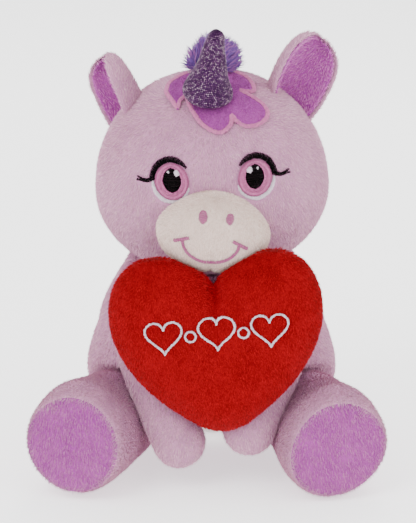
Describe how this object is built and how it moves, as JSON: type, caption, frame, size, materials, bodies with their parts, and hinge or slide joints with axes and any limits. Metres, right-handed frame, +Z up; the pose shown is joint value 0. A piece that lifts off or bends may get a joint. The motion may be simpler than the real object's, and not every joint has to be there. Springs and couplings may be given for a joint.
{
  "type": "plush unicorn",
  "caption": "Seated lilac plush unicorn with a stuffed purple horn, embroidered face and a stuffed red heart held between its paws.",
  "frame": {"origin": "on the floor, on the flat underside of the seat, in the plane between the two arms", "axes": "+Z up, the face looks along -Y, +X to the viewer's right"},
  "size_m": [0.1575, 0.1604, 0.2057],
  "materials": {
    "lilac_plush": "matte",
    "violet_plush": "matte",
    "cream_plush": "matte",
    "red_plush": "matte",
    "mane_pile": "matte",
    "horn_cloth": "satin",
    "pink_thread": "satin",
    "black_thread": "satin",
    "white_thread": "satin",
    "stuffing": "matte",
    "pellets": "satin"
  },
  "bodies": {
    "torso": {"torso_front_panel": "lilac_plush", "torso_back_left_panel": "lilac_plush", "torso_back_right_panel": "lilac_plush", "torso_stuffing": "stuffing", "pellet_bag": "pellets"},
    "neck": {"neck_seam": "lilac_plush"},
    "head": {"head_face_panel": "lilac_plush", "head_back_left_panel": "lilac_plush", "head_back_right_panel": "lilac_plush", "head_stuffing": "stuffing", "muzzle_panel": "cream_plush", "muzzle_stuffing": "stuffing", "nostrils": "pink_thread", "smile": "pink_thread", "left_eye_white": "white_thread", "left_iris": "pink_thread", "left_pupil": "black_thread", "left_glints": "white_thread", "left_lashes": "black_thread", "right_eye_white": "white_thread", "right_iris": "pink_thread", "right_pupil": "black_thread", "right_glints": "white_thread", "right_lashes": "black_thread", "forelock_patch": "violet_plush", "forelock_border": "pink_thread", "mane_tuft": "mane_pile"},
    "horn": {"horn_cover": "horn_cloth", "horn_stuffing": "stuffing"},
    "left_ear": {"left_ear_back": "lilac_plush", "left_ear_lining": "violet_plush"},
    "right_ear": {"right_ear_back": "lilac_plush", "right_ear_lining": "violet_plush"},
    "left_arm": {"left_arm_cover": "lilac_plush", "left_arm_stuffing": "stuffing"},
    "right_arm": {"right_arm_cover": "lilac_plush", "right_arm_stuffing": "stuffing"},
    "heart": {"heart_front_panel": "red_plush", "heart_back_panel": "red_plush", "heart_stuffing": "stuffing", "heart_motif": "white_thread"},
    "left_hip": {"left_hip_seam": "lilac_plush"},
    "left_leg": {"left_leg_cover": "lilac_plush", "left_leg_stuffing": "stuffing", "left_sole": "violet_plush"},
    "right_hip": {"right_hip_seam": "lilac_plush"},
    "right_leg": {"right_leg_cover": "lilac_plush", "right_leg_stuffing": "stuffing", "right_sole": "violet_plush"},
    "tail": {"tail_tuft": "mane_pile"}
  },
  "joints": [
    {"name": "head_turn", "type": "hinge", "parent": "torso", "child": "neck", "pos_m": [0, 0, 0.133], "axis": [0, 0, 1], "range_deg": [-8, 8], "stiffness_Nm_per_rad": 0.08},
    {"name": "head_nod", "type": "hinge", "parent": "neck", "child": "head", "pos_m": [0, 0, 0.133], "axis": [0.999, 0, 0.0436], "range_deg": [-10, 0], "stiffness_Nm_per_rad": 0.08},
    {"name": "horn_rock", "type": "hinge", "parent": "head", "child": "horn", "pos_m": [-0.00168, -0.026, 0.17151], "axis": [0.999, 0, 0.0436], "range_deg": [-6, 6], "stiffness_Nm_per_rad": 0.03},
    {"name": "left_ear_fold", "type": "hinge", "parent": "head", "child": "left_ear", "pos_m": [-0.03658, 0.004, 0.15693], "axis": [0.6415, -0.6157, 0.4576], "range_deg": [-15, 15], "stiffness_Nm_per_rad": 0.01},
    {"name": "right_ear_fold", "type": "hinge", "parent": "head", "child": "right_ear", "pos_m": [0.03261, 0.004, 0.16545], "axis": [0.8323, 0.2588, -0.4902], "range_deg": [-15, 15], "stiffness_Nm_per_rad": 0.01},
    {"name": "left_arm_swing", "type": "hinge", "parent": "torso", "child": "left_arm", "pos_m": [0, -0.008, 0.084], "axis": [-1, 0, 0], "range_deg": [0, 14], "stiffness_Nm_per_rad": 0.05},
    {"name": "right_arm_swing", "type": "hinge", "parent": "torso", "child": "right_arm", "pos_m": [0, -0.008, 0.084], "axis": [-1, 0, 0], "range_deg": [0, 14], "stiffness_Nm_per_rad": 0.05},
    {"name": "heart_tilt", "type": "hinge", "parent": "left_arm", "child": "heart", "pos_m": [0, -0.053, 0.025], "axis": [1, 0, 0], "range_deg": [0, 28], "stiffness_Nm_per_rad": 0.02},
    {"name": "tail_swing", "type": "hinge", "parent": "torso", "child": "tail", "pos_m": [0, 0.061, 0.034], "axis": [0, 1, 0], "range_deg": [-20, 20], "stiffness_Nm_per_rad": 0.01},
    {"name": "left_leg_splay", "type": "hinge", "parent": "torso", "child": "left_hip", "pos_m": [-0.043, -0.014, 0.0205], "axis": [0, 0, -1], "range_deg": [0, 15], "stiffness_Nm_per_rad": 0.04},
    {"name": "left_leg_lift", "type": "hinge", "parent": "left_hip", "child": "left_leg", "pos_m": [-0.043, -0.014, 0.0205], "axis": [-0.9455, 0.3256, 0], "range_deg": [0, 4], "stiffness_Nm_per_rad": 0.04},
    {"name": "right_leg_splay", "type": "hinge", "parent": "torso", "child": "right_hip", "pos_m": [0.043, -0.014, 0.0205], "axis": [0, 0, 1], "range_deg": [0, 15], "stiffness_Nm_per_rad": 0.04},
    {"name": "right_leg_lift", "type": "hinge", "parent": "right_hip", "child": "right_leg", "pos_m": [0.043, -0.014, 0.0205], "axis": [-0.9703, -0.2419, 0], "range_deg": [0, 4], "stiffness_Nm_per_rad": 0.04}
  ],
  "couplings": [
    {"joint": "right_arm_swing", "follows": "left_arm_swing", "ratio": 1},
    {"joint": "heart_tilt", "follows": "left_arm_swing", "ratio": 2}
  ]
}
